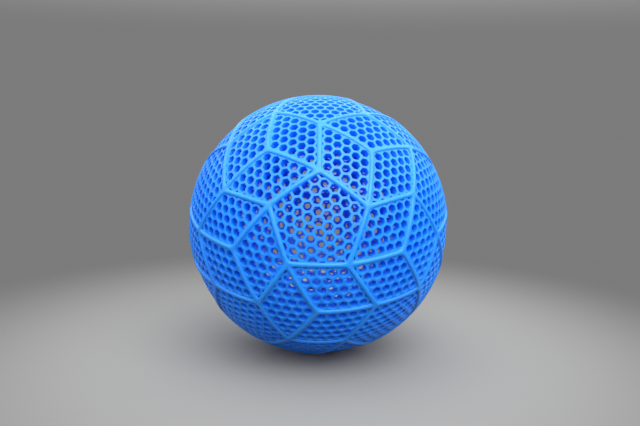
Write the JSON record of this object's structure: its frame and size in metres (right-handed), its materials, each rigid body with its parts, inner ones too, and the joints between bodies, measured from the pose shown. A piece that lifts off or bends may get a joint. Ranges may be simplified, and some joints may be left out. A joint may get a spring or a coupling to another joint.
{
  "type": "airless soccer ball",
  "caption": "Hollow open-lattice ball of interlocking pentagon and hexagon panels with raised seam ribs; bounces on its springy walls with no air inside.",
  "frame": {"origin": "centre of the ball", "axes": "-Z down through the middle of the seam that the ball rests on; the pentagon in the picture's foreground faces -Y and is tipped up by about ten degrees; +X to the right as seen from there"},
  "size_m": [0.2194, 0.2186, 0.2194],
  "materials": {
    "elastomer": "satin"
  },
  "bodies": {
    "root": {"pentagon_panel_01": "elastomer", "pentagon_panel_02": "elastomer", "pentagon_panel_03": "elastomer", "pentagon_panel_04": "elastomer", "pentagon_panel_05": "elastomer", "pentagon_panel_06": "elastomer", "pentagon_panel_07": "elastomer", "pentagon_panel_08": "elastomer", "pentagon_panel_09": "elastomer", "pentagon_panel_10": "elastomer", "pentagon_panel_11": "elastomer", "pentagon_panel_12": "elastomer", "hexagon_panel_01": "elastomer", "hexagon_panel_02": "elastomer", "hexagon_panel_03": "elastomer", "hexagon_panel_04": "elastomer", "hexagon_panel_05": "elastomer", "hexagon_panel_06": "elastomer", "hexagon_panel_07": "elastomer", "hexagon_panel_08": "elastomer", "hexagon_panel_09": "elastomer", "hexagon_panel_10": "elastomer", "hexagon_panel_11": "elastomer", "hexagon_panel_12": "elastomer", "hexagon_panel_13": "elastomer", "hexagon_panel_14": "elastomer", "hexagon_panel_15": "elastomer", "hexagon_panel_16": "elastomer", "hexagon_panel_17": "elastomer", "hexagon_panel_18": "elastomer", "hexagon_panel_19": "elastomer", "hexagon_panel_20": "elastomer"}
  },
  "joints": []
}
